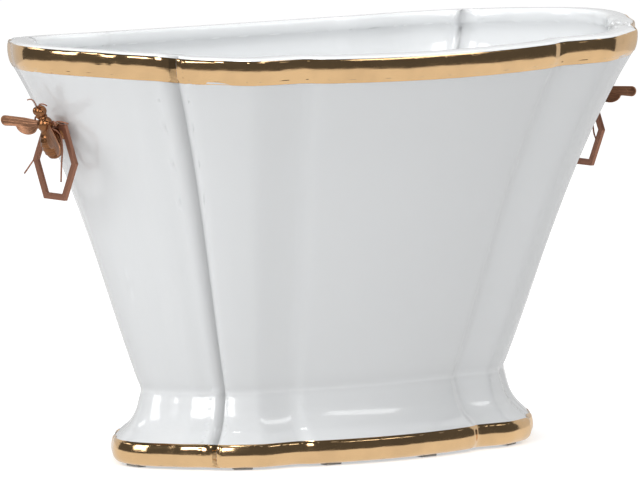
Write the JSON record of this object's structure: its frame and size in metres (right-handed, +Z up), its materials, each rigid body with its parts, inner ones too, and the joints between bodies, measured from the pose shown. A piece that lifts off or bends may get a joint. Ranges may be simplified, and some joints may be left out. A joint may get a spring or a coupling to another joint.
{
  "type": "planter pot",
  "caption": "Footed oblong porcelain planter, flared from a pinched waist, with gold rim and foot and a cast bee holding a hanging hexagonal ring pull at each end.",
  "frame": {"origin": "middle of the surface that the pot stands on", "axes": "+X along the pot's length, towards its right end as seen from the front; +Y towards its back; +Z up"},
  "size_m": [0.4281, 0.2324, 0.246],
  "materials": {
    "porcelain": "glossy white glaze",
    "gold": "polished gold lustre",
    "bronze": "polished antique bronze",
    "copper": "polished antique copper",
    "steel": "bright zinc plate",
    "rubber": "matte",
    "felt": "matte grey"
  },
  "bodies": {
    "planter": {"vessel": "porcelain", "rim_gold_band": "gold", "foot_gold_band": "gold", "foot_pad_1": "felt", "foot_pad_2": "felt", "foot_pad_3": "felt", "foot_pad_4": "felt", "foot_pad_5": "felt", "foot_pad_6": "felt", "foot_pad_7": "felt", "foot_pad_8": "felt", "foot_pad_9": "felt", "foot_pad_10": "felt", "left_bee_body": "bronze", "left_bee_left_wing": "bronze", "left_bee_right_wing": "bronze", "left_bee_legs": "copper", "left_bee_antennae": "copper", "left_ring_hanger": "bronze", "left_stud": "steel", "left_outer_washer": "rubber", "left_inner_washer": "rubber", "left_steel_washer": "steel", "left_cap_nut": "steel", "right_bee_body": "bronze", "right_bee_left_wing": "bronze", "right_bee_right_wing": "bronze", "right_bee_legs": "copper", "right_bee_antennae": "copper", "right_ring_hanger": "bronze", "right_stud": "steel", "right_outer_washer": "rubber", "right_inner_washer": "rubber", "right_steel_washer": "steel", "right_cap_nut": "steel"},
    "left_ring": {"left_ring": "copper"},
    "right_ring": {"right_ring": "copper"}
  },
  "joints": [
    {"name": "left_ring_swing", "type": "hinge", "parent": "planter", "child": "left_ring", "pos_m": [-0.19528, 0, 0.19902], "axis": [0, 1, 0], "range_deg": [-6, 45]},
    {"name": "right_ring_swing", "type": "hinge", "parent": "planter", "child": "right_ring", "pos_m": [0.19394, 0, 0.19634], "axis": [0, -1, 0], "range_deg": [-6, 45]}
  ]
}
